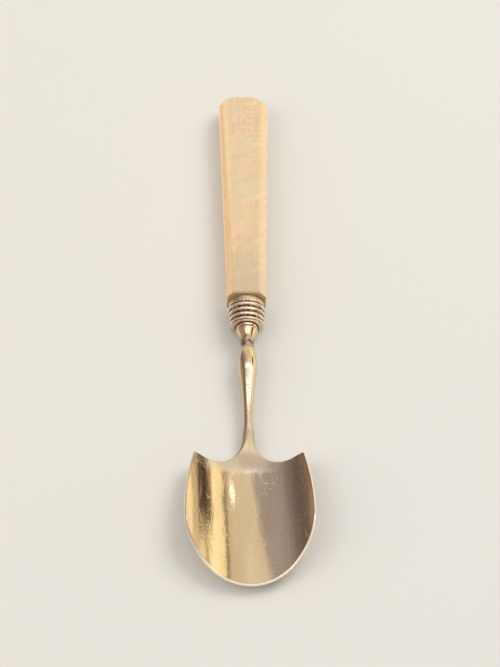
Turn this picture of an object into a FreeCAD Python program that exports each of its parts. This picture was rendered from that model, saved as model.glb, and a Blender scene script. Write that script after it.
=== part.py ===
import FreeCAD, Part
import math
import os
import sys

import Sketcher

# Cheese scoop with a shell handle, lying on its back as on a table.
# X runs across the blade, +Y towards the handle's end, +Z up. The origin is under the middle
# of the whole length, on the table.


# Sizes in millimetres, angles in degrees

SIZES = {
    # handle: a tapered slab of shell with bevelled edges
    "handle_length": 88.0,
    "handle_end_width": 16.5,
    "handle_shoulder_width": 11.6,
    "handle_shoulder_thickness": 8.9,
    "handle_end_thickness": 7.4,
    "handle_corner_radius": 4.2,
    "handle_bevel": 2.1,
    "handle_bevel_softening": 1.6,
    "handle_bore_diameter": 4.6,
    # ferrule: an oval cap with a plain band and four rings
    "ferrule_length": 10.2,
    "ferrule_band_length": 2.45,
    "ferrule_band_width": 10.65,
    "ferrule_band_height": 8.2,
    "ferrule_base_width": 9.8,
    "ferrule_base_height": 7.7,
    "ferrule_base_thickness": 1.4,
    "ferrule_bore_width": 8.0,
    "ferrule_bore_height": 5.9,
    "ferrule_edge_bevel": 0.3,
    "oval_fullness": 1.05,
    "ring_length": 1.49,
    "last_ring_length": 1.2,
    "ring_gap": 0.3,
    "ring_first_width": 11.3,
    "ring_first_height": 8.7,
    "ring_narrowing": 0.36,
    "ring_relief": 0.52,
    "ring_bevel": 0.4,
    # stem: a turned baluster that dips towards the blade
    "stem_length": 47.6,
    "stem_dip": 2.5,
    "collar_diameter": 6.7,
    "collar_length": 1.25,
    "collar_seat": 0.5,
    "collar_softening": 0.45,
    "cup_diameter": 6.6,
    "cup_groove_diameter": 6.1,
    "neck_diameter": 3.86,
    "bulb_diameter": 5.9,
    "bulb_tail_radius": 33,
    "waist_diameter": 3.1,
    # places along the stem from the ferrule, as shares of its length
    "cup_share": 0.036,
    "neck_share": 0.132,
    "bulb_share": 0.269,
    "waist_share": 0.735,
    # tang: the square bar inside the handle
    "tang_side": 3.0,
    "tang_length": 48,
    # blade: a shovel-shaped sheet bent to a trough
    "blade_length": 41.7,
    "blade_width": 36.7,
    "blade_widest_share": 0.47,
    "blade_side_radius": 88.8,
    "blade_tip_fullness": 0.811,
    "blade_thickness": 0.9,
    "trough_radius": 26.5,
    "rocker_radius": 220,
    "rocker_lowest_share": 0.254,
    "ear_rise": 1.0,
    "ear_shoulder_radius": 9,
    "ear_turn": 20,
    "ear_softening": 0.6,
    "notch_radius": 8.2,
    "notch_offset": 0.27,
    "flare_ridge_height": 1.1,
    "flare_ridge_width": 7.6,
    "flare_inset": 0.05,
    # fits
    "ferrule_fit": 0.05,
    "orifice_clearance": 0.07,
    "cement_clearance": 0.02,
    "cement_cap": 0.6,
}

RING_COUNT = 4


class Size:
    """A length together with the sheet expression that it is worked out from."""

    def __init__(self, value, text):
        self.value = value
        self.text = text

    def combine(self, other, value, sign):
        return Size(value, "(%s %s %s)" % (self.text, sign, other.text))

    def __add__(self, other):
        other = as_size(other)
        return self.combine(other, self.value + other.value, "+")

    def __sub__(self, other):
        other = as_size(other)
        return self.combine(other, self.value - other.value, "-")

    def __mul__(self, other):
        other = as_size(other)
        return self.combine(other, self.value * other.value, "*")

    def __truediv__(self, other):
        other = as_size(other)
        return self.combine(other, self.value / other.value, "/")

    def __neg__(self):
        return Size(-self.value, "(0 - %s)" % self.text)


def as_size(number):
    if isinstance(number, Size):
        return number
    return Size(float(number), "%.9g" % number if number >= 0 else "(0 - %.9g)" % -number)


def root(size):
    return Size(math.sqrt(size.value), "sqrt(%s)" % size.text)


def square(size):
    return size * size


def sine(angle):
    return Size(math.sin(math.radians(angle.value)), "sin(%s * 1 deg)" % angle.text)


def cosine(angle):
    return Size(math.cos(math.radians(angle.value)), "cos(%s * 1 deg)" % angle.text)


def sagitta(radius, half_chord):
    """How far an arc of this radius stands off the middle of its chord."""
    return radius - root(square(radius) - square(half_chord))


def radius_from_sagitta(rise, half_chord):
    return (square(half_chord) + square(rise)) / (rise * 2)


ZERO = as_size(0)

doc = FreeCAD.newDocument("cheese_scoop")


def make_sheet():
    """Puts every driving size in a named cell and returns them by name."""
    sheet = doc.addObject("Spreadsheet::Sheet", "Sizes")
    sizes = {}
    for row, (name, number) in enumerate(SIZES.items(), start=1):
        sheet.set("A%d" % row, name)
        sheet.set("B%d" % row, "%g" % number)
        sheet.setAlias("B%d" % row, name)
        sizes[name] = Size(float(number), "Sizes.%s" % name)
    doc.recompute()
    return sizes


S = make_sheet()


# Sketches and features

def bind(feature, path, size):
    """Ties a property of a feature to the sheet."""
    feature.setExpression(path, size.text)


def add_body(name):
    body = doc.addObject("PartDesign::Body", name)
    body.Label = name
    return body


def add_sketch(body, role, name, offset=ZERO, shift=ZERO, slide=ZERO, turn=None, tilt=None):
    """A sketch on one of the body's origin planes, moved, and turned about its normal or tilted
    about its own x axis."""
    plane = next(item for item in body.Origin.OriginFeatures if item.Role == role)
    sketch = body.newObject("Sketcher::SketchObject", name)
    sketch.AttachmentSupport = (plane, [""])
    sketch.MapMode = "FlatFace"
    bind(sketch, "AttachmentOffset.Base.x", slide)
    bind(sketch, "AttachmentOffset.Base.y", shift)
    bind(sketch, "AttachmentOffset.Base.z", offset)
    angle = turn or tilt
    if angle is not None:
        axis = FreeCAD.Vector(0, 0, 1) if turn else FreeCAD.Vector(1, 0, 0)
        rotation = FreeCAD.Rotation(axis, angle.value)
        sketch.AttachmentOffset = FreeCAD.Placement(FreeCAD.Vector(), rotation)
        bind(sketch, "AttachmentOffset.Rotation.Angle", angle)
    return sketch


def hold(sketch, kind, refs, size):
    """Adds a dimension whose value is tied to the sheet."""
    index = sketch.addConstraint(Sketcher.Constraint(kind, *refs, size.value))
    bind(sketch, "Constraints[%d]" % index, size)


def pin(sketch, geometry, end, corner):
    """Fixes one point of a sketch at its distances from the sketch's origin."""
    for size, kind, axis in ((corner[0], "DistanceX", -2), (corner[1], "DistanceY", -1)):
        if size is ZERO:
            sketch.addConstraint(Sketcher.Constraint("PointOnObject", geometry, end, axis))
        else:
            hold(sketch, kind, (-1, 1, geometry, end), size)


def arc_between(start, finish, radius):
    """The short arc between two points, anticlockwise where the radius is positive."""
    chord = finish - start
    left = FreeCAD.Vector(-chord.y, chord.x, 0).normalize()
    rise = math.sqrt(max(radius ** 2 - chord.Length ** 2 / 4, 0))
    centre = (start + finish) * 0.5 + left * math.copysign(rise, radius)
    first, last = (start, finish) if radius > 0 else (finish, start)
    angles = [math.atan2(p.y - centre.y, p.x - centre.x) for p in (first, last)]
    if angles[1] < angles[0]:
        angles[1] += 2 * math.pi
    circle = Part.Circle(centre, FreeCAD.Vector(0, 0, 1), abs(radius))
    return Part.ArcOfCircle(circle, angles[0], angles[1])


def add_outline(sketch, corners, arcs=None):
    """A closed outline through the corners. arcs gives the radius of the edge that leaves a
    corner, positive where it turns anticlockwise; the other edges are straight."""
    arcs = arcs or {}
    places = [FreeCAD.Vector(x.value, y.value, 0) for x, y in corners]
    count = len(corners)
    edges = []
    for index in range(count):
        start, finish = places[index], places[(index + 1) % count]
        if index in arcs:
            geometry = sketch.addGeometry(arc_between(start, finish, arcs[index].value), False)
            ends = (1, 2) if arcs[index].value > 0 else (2, 1)
        else:
            geometry = sketch.addGeometry(Part.LineSegment(start, finish), False)
            ends = (1, 2)
        edges.append((geometry, ends))
    for index, (geometry, ends) in enumerate(edges):
        before, before_ends = edges[index - 1]
        joint = (before, before_ends[1], geometry, ends[0])
        sketch.addConstraint(Sketcher.Constraint("Coincident", *joint))
        pin(sketch, geometry, ends[0], corners[index])
        if index in arcs:
            radius = arcs[index] if arcs[index].value > 0 else -arcs[index]
            hold(sketch, "Radius", (geometry,), radius)


def add_box_outline(sketch, left, low, right, high):
    add_outline(sketch, [(left, low), (right, low), (right, high), (left, high)])


def add_oval(sketch, width, height, end_radius=None):
    """An oval of four tangent arcs centred on the sketch's origin. The end radius defaults to
    that of an ellipse of the same size."""
    long_half, short_half = width / 2, height / 2
    if end_radius is None:
        end_radius = square(short_half) / long_half * S["oval_fullness"]
    reach = long_half - end_radius
    rise = short_half - end_radius
    side_radius = end_radius + (square(reach) + square(rise)) / (rise * 2)
    share = side_radius / (side_radius - end_radius)
    x = reach * share
    y = short_half - side_radius + (side_radius - short_half) * share
    corners = [(x, -y), (x, y), (-x, y), (-x, -y)]
    add_outline(sketch, corners, {0: end_radius, 1: side_radius, 2: end_radius, 3: side_radius})


def add_disc(sketch, radius):
    circle = Part.Circle(FreeCAD.Vector(0, 0, 0), FreeCAD.Vector(0, 0, 1), radius.value)
    geometry = sketch.addGeometry(circle, False)
    sketch.addConstraint(Sketcher.Constraint("Coincident", geometry, 3, -1, 1))
    hold(sketch, "Radius", (geometry,), radius)


def pad(body, sketch, length, name, forwards=True):
    """Adds material along the sketch's normal, or against it."""
    feature = body.newObject("PartDesign::Pad", name)
    feature.Profile = (sketch, [""])
    feature.Reversed = not forwards
    bind(feature, "Length", length)
    doc.recompute()
    return feature


def pocket(body, sketch, name, length=None, forwards=False):
    """Cuts a set depth against the sketch's normal, or right through both ways."""
    before = body.Shape.Volume
    feature = body.newObject("PartDesign::Pocket", name)
    feature.Profile = (sketch, [""])
    if length is None:
        feature.Type = "ThroughAll"
        feature.Midplane = True
    else:
        feature.Reversed = forwards
        bind(feature, "Length", length)
    doc.recompute()
    if not body.Shape.Volume < before:
        raise RuntimeError("%s cuts nothing" % name)
    return feature


def soften(body, kind, size, name, chosen):
    """A Fillet or Chamfer on the edges of the body's tip for which chosen is true."""
    tip = body.Tip
    picks = ["Edge%d" % n for n, edge in enumerate(tip.Shape.Edges, start=1) if chosen(edge)]
    if not picks:
        raise RuntimeError("%s finds no edge" % name)
    feature = body.newObject("PartDesign::" + kind, name)
    feature.Base = (tip, picks)
    bind(feature, "Size" if kind == "Chamfer" else "Radius", size)
    doc.recompute()
    return feature


# Places along the length and heights that several pieces share

TOTAL = S["handle_length"] + S["ferrule_length"] + S["stem_length"] + S["blade_length"]
END_Y = TOTAL / 2
SHOULDER_Y = END_Y - S["handle_length"]
BASE_Y = SHOULDER_Y - S["ferrule_length"]
BACK_Y = BASE_Y - S["stem_length"]
TIP_Y = BACK_Y - S["blade_length"]
AXIS_Z = S["handle_shoulder_thickness"] / 2
TENON_LENGTH = S["ferrule_length"] - S["ferrule_base_thickness"] - S["ferrule_fit"] * 4
TENON_Y = SHOULDER_Y - TENON_LENGTH
TANG_END_Y = BASE_Y + S["tang_length"]
BORE_END_Y = TANG_END_Y + S["cement_cap"]
RUN_OUT = S["blade_width"]


def is_near(number, target, reach=0.01):
    return abs(number - target) < reach


# Handle

def make_handle():
    body = add_body("handle")
    half_end = S["handle_end_width"] / 2
    half_shoulder = S["handle_shoulder_width"] / 2

    plan = add_sketch(body, "XY_Plane", "handle_plan")
    corners = [
        (-half_shoulder, SHOULDER_Y),
        (half_shoulder, SHOULDER_Y),
        (half_end, END_Y),
        (-half_end, END_Y),
    ]
    add_outline(plan, corners)
    pad(body, plan, S["handle_shoulder_thickness"], "handle_slab")

    slope = add_sketch(body, "YZ_Plane", "handle_top_slope")
    top = S["handle_shoulder_thickness"]
    corners = [
        (SHOULDER_Y, top),
        (END_Y, S["handle_end_thickness"]),
        (END_Y + RUN_OUT, S["handle_end_thickness"]),
        (END_Y + RUN_OUT, top + RUN_OUT),
        (SHOULDER_Y, top + RUN_OUT),
    ]
    add_outline(slope, corners)
    pocket(body, slope, "handle_top_cut")

    end_y, half_width = END_Y.value, half_end.value

    def is_end_corner(edge):
        box = edge.BoundBox
        upright = box.XLength < 0.01 and box.YLength < 0.01
        return upright and is_near(box.YMax, end_y) and is_near(abs(box.XMax), half_width)

    soften(body, "Fillet", S["handle_corner_radius"], "handle_corners", is_end_corner)

    shoulder_y = SHOULDER_Y.value
    top_z, end_top_z = top.value, S["handle_end_thickness"].value

    def is_face_rim(edge):
        box = edge.BoundBox
        on_shoulder = is_near(box.YMin, shoulder_y) and is_near(box.YMax, shoulder_y)
        on_table = is_near(box.ZMax, 0)
        on_top = box.ZMin > end_top_z - 0.1 and box.ZMax < top_z + 0.1
        return not on_shoulder and (on_table or on_top)

    soften(body, "Chamfer", S["handle_bevel"], "handle_bevels", is_face_rim)

    def is_bevel_edge(edge):
        """True on both long edges of every bevel, but not on the seams between bevels."""
        box = edge.BoundBox
        on_shoulder = is_near(box.YMin, shoulder_y) and is_near(box.YMax, shoulder_y)
        rise = S["handle_shoulder_thickness"].value - S["handle_end_thickness"].value
        return not on_shoulder and box.ZLength < rise + 0.05

    soften(body, "Fillet", S["handle_bevel_softening"], "handle_bevel_rounds", is_bevel_edge)

    tenon = add_sketch(body, "XZ_Plane", "handle_tenon_oval", offset=-SHOULDER_Y, shift=AXIS_Z)
    slack = S["ferrule_fit"] * 2
    add_oval(tenon, S["ferrule_bore_width"] - slack, S["ferrule_bore_height"] - slack)
    pad(body, tenon, TENON_LENGTH, "handle_tenon")

    bore = add_sketch(body, "XZ_Plane", "handle_bore_circle", offset=-TENON_Y, shift=AXIS_Z)
    add_disc(bore, S["handle_bore_diameter"] / 2)
    pocket(body, bore, "handle_bore", BORE_END_Y - TENON_Y)
    return body


# Ferrule

def ferrule_stack():
    """The ferrule's slices from its mouth down: name, length, full width and full height."""
    width, height = S["ring_first_width"], S["ring_first_height"]
    relief = S["ring_relief"] * 2
    gap = S["ring_gap"]
    slices = [
        ("ferrule_band", S["ferrule_band_length"], S["ferrule_band_width"], S["ferrule_band_height"]),
        ("groove_0", gap, width - relief, height - relief),
    ]
    used = S["ferrule_band_length"] + gap
    for number in range(1, RING_COUNT + 1):
        length = S["ring_length"] if number < RING_COUNT else S["last_ring_length"]
        slices.append(("ring_%d" % number, length, width, height))
        width = width - S["ring_narrowing"]
        height = height - S["ring_narrowing"]
        slices.append(("groove_%d" % number, gap, width - relief, height - relief))
        used = used + length + gap
    rest = S["ferrule_length"] - used
    slices.append(("ferrule_base", rest, S["ferrule_base_width"], S["ferrule_base_height"]))
    return slices


def make_ferrule():
    body = add_body("ferrule")
    place_y = SHOULDER_Y
    rims = []
    for name, length, width, height in ferrule_stack():
        oval = add_sketch(body, "XZ_Plane", name + "_oval", offset=-place_y, shift=AXIS_Z)
        add_oval(oval, width, height)
        pad(body, oval, length, name)
        if name.startswith("ring"):
            half_length = length.value / 2
            middle = place_y.value - half_length
            rims.append((middle, half_length, width.value / 2, height.value / 2))
        place_y = place_y - length

    axis_z = AXIS_Z.value

    def is_ring_edge(edge):
        """True on the outer rims of the rings, and false at the feet of the grooves."""
        box = edge.BoundBox
        if box.YLength > 0.01:
            return False
        point = edge.valueAt((edge.FirstParameter + edge.LastParameter) / 2)
        for middle, half, across, up in rims:
            out = (point.x / across) ** 2 + ((point.z - axis_z) / up) ** 2
            if is_near(abs(box.YMax - middle), half) and out > 0.93:
                return True
        return False

    soften(body, "Chamfer", S["ring_bevel"], "ring_bevels", is_ring_edge)
    base_y = BASE_Y.value

    def is_base_edge(edge):
        return is_near(edge.BoundBox.YMax, base_y)

    soften(body, "Chamfer", S["ferrule_edge_bevel"], "ferrule_base_bevel", is_base_edge)

    bore = add_sketch(body, "XZ_Plane", "ferrule_bore_oval", offset=-SHOULDER_Y, shift=AXIS_Z)
    add_oval(bore, S["ferrule_bore_width"], S["ferrule_bore_height"])
    depth = S["ferrule_length"] - S["ferrule_base_thickness"]
    pocket(body, bore, "ferrule_bore", depth, forwards=True)

    orifice = add_sketch(body, "XZ_Plane", "ferrule_orifice_circle", offset=-BASE_Y, shift=AXIS_Z)
    add_disc(orifice, S["collar_diameter"] / 2 + S["orifice_clearance"])
    pocket(body, orifice, "ferrule_orifice", S["ferrule_base_thickness"] * 1.5)
    return body


# Scoop: blade, stem and tang in one piece of metal

BELLY_Y = BACK_Y - S["blade_length"] * S["rocker_lowest_share"]
HALF_BLADE = S["blade_width"] / 2
WAIST_RADIUS = S["waist_diameter"] / 2
WAIST_AT = S["stem_length"] * S["waist_share"]


NOTCH_X = WAIST_RADIUS + S["notch_radius"] + S["notch_offset"]
NOTCH_Y = BACK_Y + S["notch_radius"]

# How many steps the flare takes to the back edge, and the sheet's end in notch radii from it
FLARE_STEPS = 5
TONGUE_SHARE = 0.45


def notch_edge(place_y):
    """Half the width left between the two notches."""
    return NOTCH_X - root(square(S["notch_radius"]) - square(NOTCH_Y - place_y))


def sheet_underside(place_y):
    """Height of the blade's underside on its centre line."""
    return square(place_y - BELLY_Y) / (S["rocker_radius"] * 2)


def add_trough(body):
    """The bent sheet, before its outline is cut: an arc of constant radius swung about a far axis."""
    section = add_sketch(body, "XZ_Plane", "trough_section", offset=-BELLY_Y, shift=S["rocker_radius"])
    reach = HALF_BLADE + S["blade_thickness"] * 2
    inner = S["trough_radius"]
    outer = inner + S["blade_thickness"]
    low = sagitta(outer, reach) - S["rocker_radius"]
    high = S["blade_thickness"] + sagitta(inner, reach) - S["rocker_radius"]
    corners = [(-reach, low), (reach, low), (reach, high), (-reach, high)]
    add_outline(section, corners, {0: outer, 2: -inner})
    trough = body.newObject("PartDesign::Revolution", "trough")
    trough.Profile = (section, [""])
    trough.ReferenceAxis = (section, ["H_Axis"])
    trough.Midplane = True
    half_sweep = (BELLY_Y - TIP_Y + S["blade_thickness"] * 4) / S["rocker_radius"]
    bind(trough, "Angle", half_sweep * 2 * (180 / math.pi))
    doc.recompute()


def add_shovel_outline(body):
    """Cuts the sheet to its shovel outline: round tip, bowed sides, ears and two notches."""
    widest_y = BACK_Y - S["blade_length"] * S["blade_widest_share"]
    tip_radius = root(HALF_BLADE * (widest_y - TIP_Y)) * S["blade_tip_fullness"]
    tip_centre_y = TIP_Y + tip_radius
    drop = widest_y - tip_centre_y
    flank = (square(HALF_BLADE) + square(drop) - square(tip_radius)) / ((HALF_BLADE - tip_radius) * 2)
    share = flank / (flank - tip_radius)
    touch = (HALF_BLADE - flank + (flank - HALF_BLADE) * share, widest_y - drop * share)

    ear_y = BACK_Y + S["ear_rise"]
    ear = (HALF_BLADE - sagitta(S["blade_side_radius"], ear_y - widest_y), ear_y)

    notch = S["notch_radius"]
    turn = S["ear_turn"]
    shoulder = (NOTCH_X + notch * sine(turn), NOTCH_Y - notch * cosine(turn))
    tongue_y = BACK_Y + notch * TONGUE_SHARE
    tongue = (notch_edge(tongue_y), tongue_y)

    right = [touch, (HALF_BLADE, widest_y), ear, shoulder, tongue]
    left = [(-x, y) for x, y in reversed(right)]
    radii = [flank, S["blade_side_radius"], S["ear_shoulder_radius"], -notch]
    arcs = dict(enumerate(radii))
    arcs.update((8 - index, radius) for index, radius in enumerate(radii))
    arcs[9] = tip_radius

    sketch = add_sketch(body, "XY_Plane", "shovel_outline")
    add_outline(sketch, right + left, arcs)
    margin = S["blade_width"]
    add_box_outline(sketch, -margin, TIP_Y - margin, margin, BASE_Y)
    pocket(body, sketch, "shovel_cut")

    ear_x, ear_y = ear[0].value, ear[1].value

    def is_ear_corner(edge):
        box = edge.BoundBox
        upright = box.XLength < 0.02 and box.YLength < 0.02
        return upright and is_near(abs(box.XMax), ear_x, 0.02) and is_near(box.YMax, ear_y, 0.02)

    soften(body, "Fillet", S["ear_softening"], "ear_rounds", is_ear_corner)


def add_tang(body):
    square_bar = add_sketch(body, "XZ_Plane", "tang_square", offset=-BASE_Y, shift=AXIS_Z)
    half = S["tang_side"] / 2
    add_box_outline(square_bar, -half, -half, half, half)
    pad(body, square_bar, S["tang_length"], "tang", forwards=False)


def add_baluster(body):
    """The turned stem, drawn as half a profile along its own dipping axis and spun about it."""
    profile = add_sketch(
        body, "YZ_Plane", "baluster_profile", shift=AXIS_Z, slide=BASE_Y, turn=S["stem_dip"]
    )
    collar = S["collar_diameter"] / 2
    collar_end = S["collar_length"]
    soft = S["collar_softening"]
    groove = S["cup_groove_diameter"] / 2
    stem = S["stem_length"]
    cup, cup_at = S["cup_diameter"] / 2, stem * S["cup_share"]
    neck, neck_at = S["neck_diameter"] / 2, stem * S["neck_share"]
    bulb, bulb_at = S["bulb_diameter"] / 2, stem * S["bulb_share"]
    waist, waist_at = WAIST_RADIUS, WAIST_AT

    neck_radius = radius_from_sagitta(cup - neck, neck_at - cup_at)
    nose_sum = radius_from_sagitta(bulb - neck, bulb_at - neck_at)
    nose_radius = nose_sum - neck_radius
    nose_share = neck_radius / nose_sum
    nose = (
        neck_at + (bulb_at - neck_at) * nose_share,
        neck + neck_radius - (nose_sum - bulb + neck) * nose_share,
    )
    tail_radius = S["bulb_tail_radius"]
    tail_sum = radius_from_sagitta(bulb - waist, waist_at - bulb_at)
    waist_radius = tail_sum - tail_radius
    tail_share = tail_radius / tail_sum
    tail = (
        bulb_at + (waist_at - bulb_at) * tail_share,
        bulb - tail_radius + (tail_sum - bulb + waist) * tail_share,
    )
    steps = [
        ((-S["collar_seat"], ZERO), None),
        ((-S["collar_seat"], collar), None),
        ((collar_end - soft, collar), None),
        ((collar_end, collar - soft), None),
        ((collar_end, groove), None),
        ((cup_at, cup), neck_radius),
        ((neck_at, neck), neck_radius),
        (nose, -nose_radius),
        ((bulb_at, bulb), -tail_radius),
        (tail, waist_radius),
        ((waist_at, waist), None),
        ((waist_at, ZERO), None),
    ]
    corners = [(-along, out) for (along, out), radius in steps]
    arcs = {}
    for index, (corner, radius) in enumerate(steps):
        if radius is not None:
            arcs[index] = -radius
    add_outline(profile, corners, arcs)
    baluster = body.newObject("PartDesign::Revolution", "baluster")
    baluster.Profile = (profile, [""])
    baluster.ReferenceAxis = (profile, ["H_Axis"])
    bind(baluster, "Angle", as_size(360))
    doc.recompute()


def add_flare(body):
    """Blends the round stem into the sheet through ever wider and flatter ovals."""
    along, dip = WAIST_AT, S["stem_dip"]
    start = add_sketch(
        body, "XZ_Plane", "flare_circle",
        offset=along * cosine(dip) - BASE_Y, shift=AXIS_Z - along * sine(dip), tilt=dip,
    )
    quarter = WAIST_RADIUS * root(as_size(0.5))
    corners = [(quarter, -quarter), (quarter, quarter), (-quarter, quarter), (-quarter, -quarter)]
    add_outline(start, corners, {index: WAIST_RADIUS for index in range(4)})
    length = S["stem_length"] - along * cosine(dip)
    ridge = S["flare_ridge_height"]
    edge_radius = S["blade_thickness"] / 2
    sections = []
    for number in range(FLARE_STEPS - 1, -2, -1):
        share = as_size(number) / FLARE_STEPS
        place_y = BACK_Y + length * share
        low = sheet_underside(place_y) + S["flare_inset"]
        height = ridge + (S["waist_diameter"] - ridge) * (as_size(1) - cosine(share * 180)) / 2
        if place_y.value > NOTCH_Y.value:
            half_width = WAIST_RADIUS + S["notch_offset"] / 3
        elif number > 1:
            half_width = notch_edge(place_y)
        else:
            half_width = S["flare_ridge_width"] / 2
        if number < 0:
            half_width = half_width * 0.8
            height = S["blade_thickness"] * 0.6
        end_radius = square(height / 2) / half_width
        if end_radius.value < edge_radius.value:
            end_radius = edge_radius
        if number < 0:
            end_radius = height * 0.4
        name = "flare_oval_%d" % (FLARE_STEPS - number)
        oval = add_sketch(body, "XZ_Plane", name, offset=-place_y, shift=low + height / 2)
        add_oval(oval, half_width * 2, height, end_radius)
        sections.append((oval, [""]))
    flare = body.newObject("PartDesign::AdditiveLoft", "flare")
    flare.Profile = (start, [""])
    flare.Sections = sections
    flare.Ruled = False
    doc.recompute()


def make_scoop():
    body = add_body("scoop")
    add_trough(body)
    add_shovel_outline(body)
    add_tang(body)
    add_baluster(body)
    add_flare(body)
    return body


# Cement that fills the bore round the tang

def make_cement():
    body = add_body("tang_cement")
    plug = add_sketch(body, "XZ_Plane", "cement_circle", offset=-TENON_Y, shift=AXIS_Z)
    add_disc(plug, S["handle_bore_diameter"] / 2 - S["cement_clearance"])
    length = BORE_END_Y - TENON_Y - S["cement_clearance"]
    pad(body, plug, length, "cement_plug", forwards=False)
    slot = add_sketch(body, "XZ_Plane", "cement_square", offset=-TENON_Y, shift=AXIS_Z)
    half = S["tang_side"] / 2
    add_box_outline(slot, -half, -half, half, half)
    pocket(body, slot, "cement_slot", TANG_END_Y - TENON_Y)
    return body


def check(bodies):
    """Stops on a failed feature or a bad solid before any file is written."""
    doc.recompute()
    for item in doc.Objects:
        bad = [state for state in item.State if state in ("Invalid", "Error")]
        if bad:
            raise RuntimeError("%s is %s" % (item.Name, bad))
    for body in bodies:
        if body.Shape.isNull() or not body.Shape.isValid():
            raise RuntimeError("%s has a bad shape" % body.Label)
        if len(body.Shape.Solids) != 1:
            raise RuntimeError("%s has %d solids" % (body.Label, len(body.Shape.Solids)))


def main():
    bodies = [make_handle(), make_ferrule(), make_scoop(), make_cement()]
    check(bodies)
    os.makedirs("parts", exist_ok=True)
    for body in bodies:
        body.Shape.exportStep(os.path.join("parts", body.Label + ".step"))
        box = body.Shape.BoundBox
        print("%s: volume %.1f mm3, x %.2f to %.2f, y %.2f to %.2f, z %.3f to %.2f" % (
            body.Label, body.Shape.Volume, box.XMin, box.XMax, box.YMin, box.YMax, box.ZMin, box.ZMax))
    sys.stdout.flush()


main()
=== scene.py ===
import math

import bmesh
import bpy
from mathutils import Matrix, Vector


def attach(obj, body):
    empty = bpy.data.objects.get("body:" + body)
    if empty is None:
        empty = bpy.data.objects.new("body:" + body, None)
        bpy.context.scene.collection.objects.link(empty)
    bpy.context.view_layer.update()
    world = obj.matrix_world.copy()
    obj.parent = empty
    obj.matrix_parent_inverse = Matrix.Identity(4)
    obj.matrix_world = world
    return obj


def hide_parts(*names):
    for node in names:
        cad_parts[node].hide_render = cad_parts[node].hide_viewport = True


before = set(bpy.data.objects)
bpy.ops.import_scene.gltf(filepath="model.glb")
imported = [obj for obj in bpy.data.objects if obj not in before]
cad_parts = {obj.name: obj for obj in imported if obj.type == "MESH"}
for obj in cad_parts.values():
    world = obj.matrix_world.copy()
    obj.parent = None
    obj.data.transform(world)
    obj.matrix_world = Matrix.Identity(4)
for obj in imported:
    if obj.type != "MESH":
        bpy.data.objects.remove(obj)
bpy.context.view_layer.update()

# The scoop lies on its back along Y, with the handle's end at +Y and the blade's tip at -Y.
# Shapes are worked out in millimetres and become metres in make_piece.
MM = 0.001
HANDLE_END_Y = 93.75
SHOULDER_Y = 5.75
BASE_Y = -4.45
TIP_Y = -93.75
AXIS_Z = 4.45
DIP = math.radians(2.5)


def smooth(value):
    """A soft step from 0 to 1."""
    value = min(max(value, 0.0), 1.0)
    return value * value * (3 - 2 * value)


def mix(low, high, share):
    return low + (high - low) * share


# Building meshes

MERGE_DISTANCE = 0.004
OVAL_FULLNESS = 2.06


def make_piece(name, points, faces, marks=None, sharp=38):
    """A closed, smooth piece. A mark is 1 in a recess and -1 on a worn edge, which is paled as
    wear and painted highlight.
    """
    shape = bmesh.new()
    hollow = shape.verts.layers.float.new("hollow")
    worn = shape.verts.layers.float.new("worn")
    corners = []
    for index, point in enumerate(points):
        corner = shape.verts.new(Vector(point) * MM)
        mark = marks[index] if marks else 0.0
        corner[hollow] = max(mark, 0.0)
        corner[worn] = max(-mark, 0.0)
        corners.append(corner)
    for face in faces:
        ring = [corners[index] for index in face]
        if len(set(ring)) == len(ring):
            shape.faces.new(ring)
    bmesh.ops.remove_doubles(shape, verts=shape.verts, dist=MERGE_DISTANCE * MM)
    bmesh.ops.recalc_face_normals(shape, faces=shape.faces)
    mesh = bpy.data.meshes.new(name)
    shape.to_mesh(mesh)
    shape.free()
    mesh.polygons.foreach_set("use_smooth", [True] * len(mesh.polygons))
    mesh.set_sharp_from_angle(angle=math.radians(sharp))
    piece = bpy.data.objects.new(name, mesh)
    bpy.context.scene.collection.objects.link(piece)
    return piece


def skin(rows, closed_ring=True, start=0):
    """Faces between rows of equally many points, numbered one after the other from start."""
    faces = []
    count = len(rows[0])
    steps = count if closed_ring else count - 1
    for number in range(len(rows) - 1):
        here, there = start + number * count, start + (number + 1) * count
        for step in range(steps):
            after = (step + 1) % count
            faces.append((here + step, here + after, there + after, there + step))
    return faces


def run_on(rows):
    """The points of all rows in one list."""
    return [point for row in rows for point in row]


def round_ring(radius, y, count):
    """A circle of points about the long axis."""
    ring = []
    for step in range(count):
        turn = 2 * math.pi * step / count
        ring.append((radius * math.cos(turn), y, AXIS_Z + radius * math.sin(turn)))
    return ring


def oval_ring(half_width, half_height, y, count):
    """An oval of points about the long axis, a little fuller than an ellipse."""
    power = 2 / OVAL_FULLNESS
    ring = []
    for step in range(count):
        turn = 2 * math.pi * step / count
        x = abs(math.cos(turn)) ** power * math.copysign(half_width, math.cos(turn))
        z = abs(math.sin(turn)) ** power * math.copysign(half_height, math.sin(turn))
        ring.append((x, y, AXIS_Z + z))
    return ring


# Handle of mother-of-pearl

HANDLE_SHOULDER_HALF = 5.8
HANDLE_END_HALF = 8.25
HANDLE_SHOULDER_TOP = 8.9
HANDLE_END_TOP = 7.4
HANDLE_CORNER = 5.6
# Width of the bevel and radius of its soft edges, beside the ferrule and at the worn end
CRISP_BEVEL, CRISP_SOFTNESS = 2.1, 0.6
WORN_BEVEL, WORN_SOFTNESS = 1.4, 2.4
WEAR_START_Y, WEAR_RUN = 15, 74
TENON_HALF_WIDTH, TENON_HALF_HEIGHT = 3.95, 2.9
TENON_POINTS = 48


def handle_top(y):
    share = (y - SHOULDER_Y) / (HANDLE_END_Y - SHOULDER_Y)
    return mix(HANDLE_SHOULDER_TOP, HANDLE_END_TOP, share)


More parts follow.
